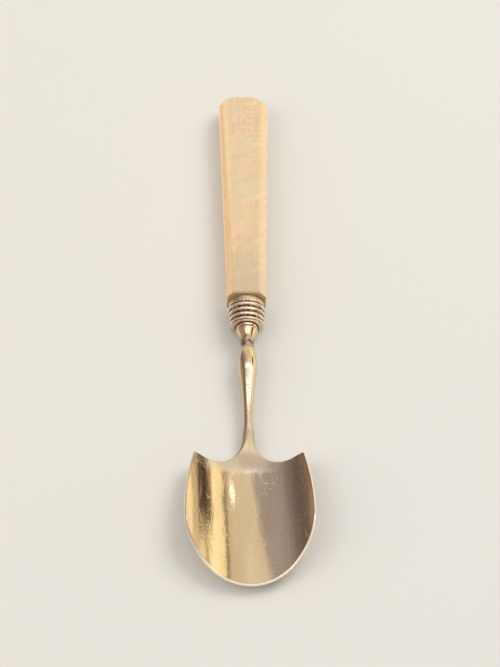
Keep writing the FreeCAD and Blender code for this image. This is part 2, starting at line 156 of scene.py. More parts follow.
def handle_plan():
    """Right half of the handle's outline, from shoulder to end: place and outward direction."""
    side_steps, corner_steps, end_steps = 44, 16, 8
    taper = math.atan2(HANDLE_END_HALF - HANDLE_SHOULDER_HALF, HANDLE_END_Y - SHOULDER_Y)
    side = Vector((math.cos(taper), -math.sin(taper)))
    across = HANDLE_END_HALF - HANDLE_CORNER * (1 + math.sin(taper)) / math.cos(taper)
    centre = Vector((across, HANDLE_END_Y - HANDLE_CORNER))
    shoulder = Vector((HANDLE_SHOULDER_HALF, SHOULDER_Y))
    corner_start = centre + side * HANDLE_CORNER
    plan = [(shoulder, Vector((1, 0)))]
    for step in range(1, side_steps):
        plan.append((shoulder.lerp(corner_start, step / side_steps), side))
    for step in range(corner_steps + 1):
        turn = mix(-taper, math.pi / 2, step / corner_steps)
        out = Vector((math.cos(turn), math.sin(turn)))
        plan.append((centre + out * HANDLE_CORNER, out))
    for step in range(1, end_steps + 1):
        plan.append((Vector((mix(across, 0, step / end_steps), HANDLE_END_Y)), Vector((0, 1))))
    return plan


def bevel_steps(y):
    """Inset and rise of the bevel, from the face to the side of the handle."""
    worn = smooth((y - WEAR_START_Y) / WEAR_RUN)
    softness = mix(CRISP_SOFTNESS, WORN_SOFTNESS, worn)
    edge = mix(CRISP_BEVEL, WORN_BEVEL, worn) + softness * math.tan(math.radians(22.5))
    rounding = []
    for step in range(11):
        turn = math.radians(45) * step / 10
        rounding.append((edge - softness * math.sin(turn), softness * (1 - math.cos(turn))))
    mirrored = [(rise, inset) for inset, rise in reversed(rounding)]
    return [(edge + 0.6, 0.0), (edge + 0.2, 0.0)] + rounding + mirrored + [(0.0, edge + 0.3)]


def make_handle():
    plan = handle_plan()
    left = [(Vector((-place.x, place.y)), Vector((-out.x, out.y))) for place, out in plan[:-1]]
    rows = []
    for place, out in plan + left[::-1]:
        steps = bevel_steps(place.y)
        row = []
        for inset, rise in steps:
            spot = place - out * inset
            row.append((spot.x, spot.y, rise))
        for inset, rise in reversed(steps):
            spot = place - out * inset
            row.append((spot.x, spot.y, handle_top(spot.y) - rise))
        rows.append(row)
    points = run_on(rows)
    faces = skin(rows, closed_ring=False)
    count = len(rows[0])
    last = (len(rows) - 1) * count
    faces.append([number * count for number in range(len(rows))])
    faces.append([number * count + count - 1 for number in range(len(rows))])
    faces.append(list(range(count)) + [last + step for step in reversed(range(count))])

    start = len(points)
    tenon = []
    for y, inset in ((SHOULDER_Y + 1.0, 0.0), (SHOULDER_Y - 8.0, 0.0), (BASE_Y + 1.7, 0.4)):
        half_width, half_height = TENON_HALF_WIDTH - inset, TENON_HALF_HEIGHT - inset
        tenon.append(oval_ring(half_width, half_height, y, TENON_POINTS))
    points += run_on(tenon)
    faces += skin(tenon, start=start)
    for first in (start, start + 2 * TENON_POINTS):
        faces.append([first + index for index in range(TENON_POINTS)])
    return make_piece("shell_handle", points, faces)


# Ferrule with its four rings

FERRULE_POINTS = 160
BAND_HALF_WIDTH, BAND_HALF_HEIGHT = 10.65 / 2, 8.2 / 2
BAND_LENGTH = 2.45
# Drop from the band's upper edge, and how far the band is eased back there
BAND_EDGES = (
    (0.0, 0.12), (0.04, 0.05), (0.12, 0.0), (1.2, 0.0), (2.2, 0.0), (2.38, 0.03), (2.45, 0.12),
)
RING_HALF_WIDTH, RING_HALF_HEIGHT = 11.3 / 2, 8.7 / 2
RING_LENGTHS = (1.49, 1.49, 1.49, 1.2)
RING_GAP = 0.3
RING_RELIEF = 0.52
RING_NARROWING = 0.36
RING_STEPS = 24
BASE_HALF_WIDTH, BASE_HALF_HEIGHT = 9.8 / 2, 7.7 / 2
BASE_EASING = 0.26
BASE_THICKNESS = 1.4
BASE_STEPS = 12
HOLE_MOUTH, HOLE_RADIUS = 3.5, 3.43
BORE_HALF_WIDTH, BORE_HALF_HEIGHT = 4.0, 2.95


def ferrule_profile():
    """Outside of the ferrule: place along Y, half width, half height, and its mark."""
    profile = []

    def add(y, half_width, half_height, back, mark=0.0):
        profile.append((y, half_width - back, half_height - back, mark))

    def add_gap(y, half_width, half_height):
        for share in (0.12, 0.5, 0.88):
            add(y - RING_GAP * share, half_width, half_height, RING_RELIEF + 0.02, 1.0)

    for drop, back in BAND_EDGES:
        add(SHOULDER_Y - drop, BAND_HALF_WIDTH, BAND_HALF_HEIGHT, back)
    y = SHOULDER_Y - BAND_LENGTH
    width, height = RING_HALF_WIDTH, RING_HALF_HEIGHT
    for length in RING_LENGTHS:
        add_gap(y, width, height)
        y -= RING_GAP
        for step in range(RING_STEPS + 1):
            along = step / RING_STEPS
            lift = math.sin(math.pi * along) ** 1.25
            # Crests are marked worn, which pales them as wear and painted highlight
            mark = mix(1.0, -0.9, smooth(lift * 1.05))
            add(y - length * along, width, height, RING_RELIEF * (1 - lift), mark)
        y -= length
        width -= RING_NARROWING / 2
        height -= RING_NARROWING / 2
    add_gap(y, width, height)
    y -= RING_GAP
    for step in range(BASE_STEPS + 1):
        turn = math.pi * (0.12 + 0.88 * step / BASE_STEPS)
        along = (1 - math.cos(turn)) / 2
        back = BASE_EASING * (1 - math.sin(turn) ** 0.8)
        add(mix(y, BASE_Y, along), BASE_HALF_WIDTH, BASE_HALF_HEIGHT, back)
    return profile


def make_ferrule():
    count = FERRULE_POINTS
    rows, marks = [], []

    def add(row, mark):
        rows.append(row)
        marks.extend([mark] * count)

    for y, half_width, half_height, mark in ferrule_profile():
        add(oval_ring(half_width, half_height, y, count), mark)
    outer = rows[-1]
    mouth = round_ring(HOLE_MOUTH, BASE_Y, count)
    for share, mark in ((0.4, 0.0), (0.7, 0.1), (0.9, 0.6)):
        add([tuple(Vector(a).lerp(Vector(b), share)) for a, b in zip(outer, mouth)], mark)
    add(mouth, 0.9)
    for y in (BASE_Y + 0.08, BASE_Y + BASE_THICKNESS):
        add(round_ring(HOLE_RADIUS, y, count), 1.0)
    for y in (BASE_Y + BASE_THICKNESS, SHOULDER_Y):
        add(oval_ring(BORE_HALF_WIDTH, BORE_HALF_HEIGHT, y, count), 1.0)
    faces = skin(rows)
    last = (len(rows) - 1) * count
    for step in range(count):
        after = (step + 1) % count
        faces.append((last + step, last + after, after, step))
    return make_piece("reeded_ferrule", run_on(rows), faces, marks, sharp=50)


# Scoop: turned stem, flare and blade in one piece of metal.
# Each AT is a distance along the dipping stem from the ferrule's base.

SEAT_RADIUS, COLLAR_RADIUS = 3.33, 3.35
GROOVE_RADIUS = 2.94
CUP_AT, CUP_RADIUS = 1.71, 3.3
NECK_AT, NECK_RADIUS = 6.28, 1.93
BULB_AT, BULB_RADIUS = 12.8, 2.95
WAIST_AT, WAIST_RADIUS = 34.99, 1.55
WAIST_Y = BASE_Y - WAIST_AT * math.cos(DIP)

SHEET = 0.9
TROUGH = 26.95
ROCKER = 220
BELLY_Y = -62.64
UNDERLINE_RUN = 9.5
DISH_RUN = 6
NOTCH = Vector((10.02, -43.85))
NOTCH_RADIUS = 8.2
EAR_TURN = math.radians(20)
EAR_RADIUS = 9.0
EAR_SOFT = 0.6
SIDE_RADIUS = 88.8
WIDEST = Vector((18.35, -71.65))
TIP_RADIUS = 16.33

# The stem's round section thins to the sheet over these shares of the flare's length
FLARE = WAIST_Y - (BASE_Y - 47.6)
RIM_SWELL, RIM_RUN = 0.55, 0.9
RIM_FULLNESS = (2, 3.4)
RIDGE_SWELL, RIDGE_RUN = 1.1, 1.25
RIDGE_REACH = (1.7, 8.5)

TANG_HALF = 1.5
TANG_BEVEL = 0.25

RIM_STEPS = 12
FACE_STEPS = 30
ROW_STEPS = RIM_STEPS + FACE_STEPS


def bow(rise, half_chord):
    """Radius of an arc from its rise and half chord."""
    return (rise * rise + half_chord * half_chord) / (2 * rise)


def stem_radius(along):
    """Radius of the turned stem beyond the cup's lip."""
    neck_bow = bow(CUP_RADIUS - NECK_RADIUS, NECK_AT - CUP_AT)
    nose_sum = bow(BULB_RADIUS - NECK_RADIUS, BULB_AT - NECK_AT)
    nose_at = NECK_AT + (BULB_AT - NECK_AT) * neck_bow / nose_sum
    tail_sum = bow(BULB_RADIUS - WAIST_RADIUS, WAIST_AT - BULB_AT)
    tail_bow = 33.0
    tail_at = BULB_AT + (WAIST_AT - BULB_AT) * tail_bow / tail_sum
    waist_bow = tail_sum - tail_bow
    if along < nose_at:
        return NECK_RADIUS + neck_bow - math.sqrt(neck_bow ** 2 - (along - NECK_AT) ** 2)
    if along < BULB_AT:
        bulb_bow = nose_sum - neck_bow
        return BULB_RADIUS - bulb_bow + math.sqrt(bulb_bow ** 2 - (along - BULB_AT) ** 2)
    if along < tail_at:
        return BULB_RADIUS - tail_bow + math.sqrt(tail_bow ** 2 - (along - BULB_AT) ** 2)
    return WAIST_RADIUS + waist_bow - math.sqrt(waist_bow ** 2 - (along - WAIST_AT) ** 2)


def stem_profile():
    """Collar, groove, cup and baluster: distance along the axis, radius and mark."""
    profile = [(-0.5, SEAT_RADIUS, 1.0), (-0.1, SEAT_RADIUS, 1.0),
               (0.05, COLLAR_RADIUS, 0.8), (0.3, COLLAR_RADIUS, 0.1)]
    for step in range(1, 9):
        turn = math.radians(90 + 90 * step / 8)
        # The collar's upper rounding is marked worn, which pales it as wear and painted highlight
        mark = -0.5 if step < 4 else 0.3
        profile.append((0.4 - 0.42 * math.cos(turn), 2.98 + 0.37 * math.sin(turn), mark))
    profile += [(0.87, GROOVE_RADIUS, 0.9), (0.96, GROOVE_RADIUS, 0.9)]
    for step in range(1, 11):
        turn = math.radians(95 * step / 10)
        mark = 0.4 if step < 3 else 0.0
        profile.append((1.5 - 0.52 * math.cos(turn), 2.97 + 0.33 * math.sin(turn), mark))
    profile.append((CUP_AT, CUP_RADIUS, 0.0))
    along = 1.9
    while along < WAIST_AT - 0.2:
        tarnish = 0.62 * smooth(1 - abs(along - NECK_AT) / 3.6)
        profile.append((along, stem_radius(along), tarnish))
        along += 0.22 if along < 8 else 0.45
    return profile


def stem_row(along, radius):
    """Right half of a round section, square to the dipping axis, from its top to its bottom."""
    centre_y = BASE_Y - along * math.cos(DIP)
    centre_z = AXIS_Z - along * math.sin(DIP)
    row = []
    for step in range(2 * ROW_STEPS + 1):
        turn = math.pi / 2 * (1 - step / ROW_STEPS)
        up = radius * math.sin(turn)
        across = radius * math.cos(turn) if 0 < step < 2 * ROW_STEPS else 0.0
        row.append((across, centre_y - up * math.sin(DIP), centre_z + up * math.cos(DIP)))
    return row


def underline(y):
    """Height of the lowest line of stem and blade at a place along Y."""
    rocker = (y - BELLY_Y) ** 2 / (2 * ROCKER)
    if y < WAIST_Y - UNDERLINE_RUN:
        return rocker
    along = (BASE_Y - y) / math.cos(DIP)
    stem = AXIS_Z - along * math.sin(DIP) - WAIST_RADIUS
    return mix(stem, rocker, smooth((WAIST_Y - y) / UNDERLINE_RUN))


def dished(y):
    """How far the trough is dished at a place along Y, from none at the waist."""
    return smooth((WAIST_Y - y) / DISH_RUN)


def sheet_dish(x, y):
    return dished(y) * (TROUGH - math.sqrt(TROUGH ** 2 - x ** 2))


def sheet_upright(x, y):
    """Direction square to the sheet's middle surface."""
    across = dished(y) * x / math.sqrt(TROUGH ** 2 - x ** 2)
    along = (underline(y + 0.01) - underline(y - 0.01)) / 0.02
    return Vector((-across, -along, 1)).normalized()


def crossing(first, first_radius, second, second_radius):
    """The meeting point of two circles that is nearer the handle."""
    line = second - first
    gap = line.length
    share = (first_radius ** 2 - second_radius ** 2 + gap ** 2) / (2 * gap)
    height = math.sqrt(first_radius ** 2 - share ** 2)
    ray = line / gap
    middle = first + ray * share
    step = Vector((-ray.y, ray.x)) * height
    return max(middle + step, middle - step, key=lambda place: place.y)


def flank_bow(tip):
    """Radius of the arc that leaves the widest place upright and runs into the tip's arc."""
    drop = tip.y - WIDEST.y
    reach = WIDEST.x
    return (reach ** 2 + drop ** 2 - TIP_RADIUS ** 2) / (2 * (reach - TIP_RADIUS))


def blade_edge():
    """Right half of the blade's outline from the waist to the tip: place and outward direction."""
    edge = []
    for step in range(1, 14):
        y = mix(WAIST_Y, NOTCH.y, step / 14)
        edge.append((Vector((WAIST_RADIUS + 0.27 * smooth(step / 14), y)), Vector((1, 0))))

    def arc(centre, radius, start, end, steps, first=1):
        side = 1 if radius > 0 else -1
        for step in range(first, steps + 1):
            turn = mix(start, end, step / steps)
            ray = Vector((math.cos(turn), math.sin(turn)))
            edge.append((centre + ray * abs(radius), ray * side))

    arc(NOTCH, -NOTCH_RADIUS, math.pi, 1.5 * math.pi + EAR_TURN, 52, first=0)
    leaving = Vector((math.sin(EAR_TURN), -math.cos(EAR_TURN)))
    shoulder = NOTCH + leaving * NOTCH_RADIUS + leaving * EAR_RADIUS
    side = WIDEST - Vector((SIDE_RADIUS, 0))
    ear = crossing(shoulder, EAR_RADIUS - EAR_SOFT, side, SIDE_RADIUS - EAR_SOFT)
    toward = (ear - shoulder).normalized()
    outward = (ear - side).normalized()
    inner_turn = math.atan2(toward.y, toward.x)
    outer_turn = math.atan2(outward.y, outward.x)
    arc(shoulder, EAR_RADIUS, math.pi / 2 + EAR_TURN, inner_turn, 10)
    arc(ear, EAR_SOFT, inner_turn, outer_turn, 12)
    arc(side, SIDE_RADIUS, outer_turn, 0, 36)
    tip = Vector((0, TIP_Y + TIP_RADIUS))
    flank_radius = flank_bow(tip)
    flank = WIDEST - Vector((flank_radius, 0))
    turn = math.atan2(tip.y - flank.y, tip.x - flank.x)
    arc(flank, flank_radius, 0, turn, 30)
    arc(tip, TIP_RADIUS, turn, -math.pi / 2, 34)
    edge[-1] = (Vector((0, TIP_Y)), Vector((0, -1)))
    return edge


# Distance travelled along the edge from the waist, and the place on the centre line where the
# row from there ends
SPINE = (
    (0.0, WAIST_Y), (4.44, -43.85), (20.18, -57.6), (23.2, -60.2),
    (24.0, -61.6), (44.6, -72.8), (61.8, -77.5), (77.0, -80.0),
)


def spine_place(travel):
    for (start, low), (end, high) in zip(SPINE, SPINE[1:]):
        if travel <= end:
            return mix(low, high, (travel - start) / (end - start))
    return SPINE[-1][1]


def blade_row(place, out, middle_y):
    """Right half of a section from the centre line over the rim and back underneath."""
    progress = (WAIST_Y - middle_y) / FLARE
    rim = SHEET / 2 + RIM_SWELL * (1 + math.cos(math.pi * min(progress / RIM_RUN, 1)))
    height = SHEET + RIDGE_SWELL * (1 + math.cos(math.pi * min(progress / RIDGE_RUN, 1)))
    crown = max(height - 2 * rim, 0.0)
    crown_reach = mix(*RIDGE_REACH, smooth(progress / RIDGE_RUN))
    squareness = 2 / mix(*RIM_FULLNESS, smooth(progress / RIM_RUN))
    settled = smooth(progress / 0.5)

    upright = sheet_upright(place.x, place.y)
    lean = abs(upright.x * out.x + upright.y * out.y)
    upright_share = math.sqrt(1 - lean ** 2)
    place = place - out * (SHEET / 2 * 0.9 * lean)
    inner = place - out * rim * upright_share
    centre = Vector((0, middle_y))
    reach = (inner - centre).length if abs(inner.x) > 1e-6 or progress > 1 else 0.0
    rim_run = rim * math.pi / 2
    whole = rim_run + reach
    rim_share = mix(whole * RIM_STEPS / ROW_STEPS, rim_run, settled)

    top, bottom = [], []
    for step in range(ROW_STEPS + 1):
        if step <= RIM_STEPS:
            run = rim_share * step / RIM_STEPS
        else:
            run = rim_share + (whole - rim_share) * (step - RIM_STEPS) / FACE_STEPS
        if run < rim_run:
            turn = run / rim
            inset = rim * upright_share * (1 - math.cos(turn) ** squareness)
            half = rim * math.sin(turn) ** squareness
            spot = place - out * inset
        else:
            half = rim
            share = (run - rim_run) / reach if reach > 1e-6 else 1.0
            spot = inner.lerp(centre, min(share, 1.0))
        x = max(spot.x, 0.0) if step < ROW_STEPS else 0.0
        upright = sheet_upright(x, spot.y)
        middle = Vector((x, spot.y, underline(spot.y) + rim + sheet_dish(x, spot.y)))
        ridge = crown * max(1 - (x / crown_reach) ** 2, 0.0) ** 2
        top.append(tuple(middle + upright * half + Vector((0, 0, ridge))))
        bottom.append(tuple(middle - upright * half))
    row = top[::-1] + bottom[1:]
    row[0] = (0.0,) + row[0][1:]
    row[-1] = (0.0,) + row[-1][1:]
    return row


def tang_rows():
    """Three bevelled squares of the tang, the last one smaller."""
    rows = []
    for y, half in (
        (BASE_Y + 0.3, TANG_HALF), (BASE_Y + 44.0, TANG_HALF), (BASE_Y + 48.0, TANG_HALF * 0.6),
    ):
        row = []
        for quarter in range(4):
            spin = Matrix.Rotation(math.pi / 2 * quarter, 2)
            for corner in ((half, -half + TANG_BEVEL), (half, half - TANG_BEVEL)):
                spot = spin @ Vector(corner)
                row.append((spot.x, y, AXIS_Z + spot.y))
        rows.append(row)
    return rows


def make_scoop():
    rows, marks = [], []
    count = 2 * ROW_STEPS + 1
    for along, radius, mark in stem_profile() + [(WAIST_AT, WAIST_RADIUS, 0.0)]:
        rows.append(stem_row(along, radius))
        marks += [mark] * count
    # Rim marks pale the sheet's edge, partly as wear and partly as painted highlight
    rim = [-1.0 if abs(step - ROW_STEPS) < RIM_STEPS - 4 else 0.0 for step in range(count)]
    travel = 0.0
    before = Vector((WAIST_RADIUS, WAIST_Y))
    for place, out in blade_edge():
        travel += (place - before).length
        before = place
        rows.append(blade_row(place, out, spine_place(travel)))
        bare = smooth((WAIST_Y - 6 - place.y) / 4)
        marks += [mark * bare for mark in rim]
    points = run_on(rows)
    faces = skin(rows, closed_ring=False)
    mirrored = len(points)
    points += [(-x, y, z) for x, y, z in points]
    faces += [[mirrored + index for index in reversed(face)] for face in faces]
    left_end = [mirrored + index for index in reversed(range(1, count - 1))]
    faces.append(list(range(count)) + left_end)
    marks = marks * 2

    start = len(points)
    tang = tang_rows()
    corners = len(tang[0])
    points += run_on(tang)
    marks += [1.0] * (len(tang) * corners)
    faces += skin(tang, start=start)
    for first in (start, start + 2 * corners):
        faces.append([first + index for index in range(corners)])
    return make_piece("silver_scoop", points, faces, marks, sharp=50)


# Finishes

class Nodes:
    """A short way to add nodes to a tree and join them."""

    def __init__(self, tree):
        self.tree = tree
        self.count = 0

    def add(self, kind, **settings):
        node = self.tree.nodes.new(kind)
        node.location = (180 * (self.count % 8), -220 * (self.count // 8))
        self.count += 1
        for name, value in settings.items():
            setattr(node, name, value)
        return node

    def join(self, value, socket):
        """Joins an output to an input, or sets the input to a number, vector or colour."""
        if isinstance(value, bpy.types.NodeSocket):
            self.tree.links.new(value, socket)
        elif socket.type == "RGBA":
            socket.default_value = (*value, 1)
        else:
            socket.default_value = value

    def fill(self, node, **values):
        """Joins or sets inputs by name, with _ for a space. Returns the node's outputs."""
        for name, value in values.items():
            self.join(value, node.inputs[name.replace("_", " ")])
        return node.outputs

    def use(self, group, **values):
        """Places a node group and fills its inputs."""
        return self.fill(self.add("ShaderNodeGroup", node_tree=group), **values)

    def maths(self, operation, first, second=0.0, clamp=False):
        node = self.add("ShaderNodeMath", operation=operation, use_clamp=clamp)
        self.join(first, node.inputs[0])
        self.join(second, node.inputs[1])
        return node.outputs[0]

    def times(self, first, second, clamp=False):
        return self.maths("MULTIPLY", first, second, clamp)

    def total(self, start, *shares):
        """A start value with a share of each other value added."""
        for value, share in shares:
            start = self.maths("ADD", self.times(value, share), start)
        return start

    def between(self, value, low, high, start=0.0, end=1.0, way="SMOOTHSTEP"):
        """Runs from start to end while the value runs from low to high."""
        node = self.add("ShaderNodeMapRange", interpolation_type=way)
        return self.fill(node, Value=value, From_Min=low, From_Max=high,
                         To_Min=start, To_Max=end)["Result"]

    def ramp(self, value, stops, smooth_steps=True):
        node = self.add("ShaderNodeValToRGB")
        line = node.color_ramp
        line.interpolation = "EASE" if smooth_steps else "LINEAR"
        while len(line.elements) < len(stops):
            line.elements.new(0.5)
        for element, (place, colour) in zip(line.elements, stops):
            element.position = place
            if isinstance(colour, (int, float)):
                colour = (colour, colour, colour)
            element.color = (*colour, 1)
        return self.fill(node, Fac=value)["Color"]

    def noise(self, vector, scale, detail=4.0, roughness=0.5, distortion=0.0):
        node = self.add("ShaderNodeTexNoise")
        return self.fill(node, Vector=vector, Scale=scale, Detail=detail,
                         Roughness=roughness, Distortion=distortion)["Fac"]

    def split(self, vector):
        """The X, Y and Z of a vector."""
        return tuple(self.fill(self.add("ShaderNodeSeparateXYZ"), Vector=vector))

    def stretch(self, vector, scale, turn=0):
        """Places scaled along each direction, after a turn about Z in degrees."""
        if turn:
            angles = (0, 0, math.radians(turn))
            node = self.add("ShaderNodeMapping")
            vector = self.fill(node, Vector=vector, Rotation=angles)["Vector"]
        node = self.add("ShaderNodeMapping")
        return self.fill(node, Vector=vector, Scale=scale)["Vector"]

    def blend(self, share, first, second):
        """A mix of two colours."""
        node = self.add("ShaderNodeMix", data_type="RGBA")
        for socket, value in ((0, share), (6, first), (7, second)):
            self.join(value, node.inputs[socket])
        return node.outputs[2]

    def choose(self, share, first, second):
        """A mix of two shaders."""
        node = self.add("ShaderNodeMixShader")
        for socket, value in enumerate((share, first, second)):
            self.join(value, node.inputs[socket])
        return node.outputs[0]

    def bump(self, height, strength, distance, under=None, invert=False):
        """A bump, laid over the one under it."""
        node = self.add("ShaderNodeBump", invert=invert)
        if under:
            self.join(under, node.inputs["Normal"])
        return self.fill(node, Height=height, Strength=strength, Distance=distance)["Normal"]


def new_group(name, inputs, outputs):
    """A node group with a vector, named numbers in and named numbers out."""
    group = bpy.data.node_groups.new(name, "ShaderNodeTree")
    group.interface.new_socket(name="Vector", in_out="INPUT", socket_type="NodeSocketVector")
    for socket, value in inputs:
        made = group.interface.new_socket(
            name=socket, in_out="INPUT", socket_type="NodeSocketFloat")
        made.default_value = value
    for socket in outputs:
        group.interface.new_socket(name=socket, in_out="OUTPUT", socket_type="NodeSocketFloat")
    nodes = Nodes(group)
    given = nodes.add("NodeGroupInput").outputs
    return group, nodes, given, nodes.add("NodeGroupOutput")


def make_hairlines():
    """Fine use scratches in three directions."""
    group, nodes, given, result = new_group(
        "hairline_scratches", [("Scale", 1.0), ("Amount", 1.0)], ["Lines", "Height"])
    lines = []
    for scale, turn, low, high in (
        ((900, 26, 900), 7, 0.60, 0.72),
        ((700, 34, 700), -16, 0.62, 0.72),
        ((45, 1100, 200), 24, 0.66, 0.76),
    ):
        placed = nodes.stretch(given["Vector"], scale, turn)
        value = nodes.noise(placed, given["Scale"], detail=3.0, roughness=0.6)
        lines.append(nodes.between(value, low, high, way="LINEAR"))
    both = nodes.maths("MAXIMUM", lines[0], lines[1])
    shown = nodes.times(nodes.maths("MAXIMUM", both, lines[2]), given["Amount"])
    nodes.fill(result, Lines=shown, Height=nodes.maths("SUBTRACT", 1.0, shown))
    return group


def make_clouding():
    """Soft uneven tone, as breath and handling leave on a polished face."""
    group, nodes, given, result = new_group(
        "soft_clouding", [("Scale", 100.0), ("Contrast", 1.0)], ["Tone"])
    value = nodes.noise(given["Vector"], given["Scale"],
                        detail=5.0, roughness=0.55, distortion=0.3)
    spread = nodes.times(nodes.maths("SUBTRACT", value, 0.5), given["Contrast"])
    nodes.fill(result, Tone=nodes.maths("ADD", spread, 0.5, clamp=True))
    return group


hairlines = make_hairlines()
clouding = make_clouding()


def empty_material(name):
    material = bpy.data.materials.new(name)
    material.use_nodes = True
    material.node_tree.nodes.clear()
    nodes = Nodes(material.node_tree)
    return material, nodes, nodes.add("ShaderNodeOutputMaterial")


def new_material(name):
    material, nodes, end = empty_material(name)
    surface = nodes.add("ShaderNodeBsdfPrincipled")
    nodes.fill(end, Surface=surface.outputs["BSDF"])
    return material, nodes, surface, nodes.add("ShaderNodeTexCoord").outputs["Object"]


# Places and distances in the materials are in metres

def old_silver(name, shade, dirt, dulled, wave, grain):
    """Worn silver: warm where polished, brown in grooves, pale on worn edges as wear and painted
    highlight, scratched.
    """
    material, nodes, surface, place = new_material(name)
    x, y, _ = nodes.split(place)
    hollow = nodes.add("ShaderNodeAttribute", attribute_name="hollow").outputs["Fac"]
    worn = nodes.add("ShaderNodeAttribute", attribute_name="worn").outputs["Fac"]

    # The stem is duller than the blade, and the flare between them is the dullest and darkened
    # with painted shade
    stem = nodes.between(y, -0.0563, -0.0528)
    flare = nodes.between(y, -0.036, -0.044)
    middle = nodes.between(nodes.maths("ABSOLUTE", x), 0.013, 0.007)
    dull_and_shaded_flare = nodes.times(nodes.times(flare, stem), middle)

    lengthwise = nodes.stretch(place, (1.0, 0.12, 1.0))
    broad = nodes.use(clouding, Vector=lengthwise, Scale=160.0, Contrast=0.9)["Tone"]
    fine = nodes.use(clouding, Vector=place, Scale=900.0, Contrast=1.4)["Tone"]
    lines = nodes.use(hairlines, Vector=place, Scale=1.0, Amount=1.0)
    specks = nodes.noise(place, 2300.0, detail=3.0, roughness=0.6)
    pits = nodes.ramp(specks, [(0.64, 0.0), (0.74, 1.0)])
    blots = nodes.noise(place, 1100.0, detail=3.0, roughness=0.6)
    uneven = nodes.ramp(blots, [(0.38, 0.35), (0.62, 1.3)])
    stain = nodes.times(nodes.ramp(hollow, [(0.05, 0.0), (0.8, 1.0)]), dirt)
    stain = nodes.times(stain, uneven, clamp=True)

    bright = (0.86, 0.76, 0.60)
    colour = nodes.blend(nodes.ramp(broad, [(0.3, 0.0), (0.75, 1.0)]), shade, bright)
    # Painted shade: the flare's colour is darkened to dim its reflection
    colour = nodes.blend(nodes.times(dull_and_shaded_flare, 0.75), colour, (0.56, 0.48, 0.37))
    colour = nodes.blend(nodes.times(fine, 0.16), colour, (0.62, 0.44, 0.30))
    # Worn edges and ring crests are paled, partly as wear and partly as painted highlight
    colour = nodes.blend(nodes.times(worn, 0.85), colour, (0.97, 0.91, 0.84))
    colour = nodes.blend(stain, colour, (0.12, 0.064, 0.036))
    colour = nodes.blend(nodes.times(pits, 0.35), colour, (0.35, 0.25, 0.16))
    rough = nodes.total(0.05, (broad, 0.03), (stem, dulled), (dull_and_shaded_flare, 0.24), (lines["Lines"], 0.16))
    rough = nodes.maths("ADD", rough, nodes.times(stain, 0.3), clamp=True)

    waves = nodes.noise(nodes.stretch(place, (1.0, 0.22, 1.0)), 150.0, detail=2.0)
    clusters = nodes.ramp(nodes.noise(place, 130.0, detail=1.0), [(0.50, 0.0), (0.60, 1.0)])
    dents = nodes.ramp(nodes.noise(place, 1500.0, detail=1.0), [(0.60, 0.0), (0.72, 1.0)])
    normal = nodes.bump(waves, 0.5, wave)
    normal = nodes.bump(blots, 0.6, grain, normal)
    normal = nodes.bump(blots, nodes.times(hollow, 0.9, clamp=True), 0.00035, normal)
    normal = nodes.bump(nodes.times(clusters, dents), 0.6, 0.00002, normal, invert=True)
    normal = nodes.bump(pits, 0.4, 0.5 * grain, normal, invert=True)
    normal = nodes.bump(lines["Height"], 0.4, 0.00002, normal)
    nodes.fill(surface, Base_Color=colour, Metallic=1.0, Roughness=rough, Normal=normal)
    return material


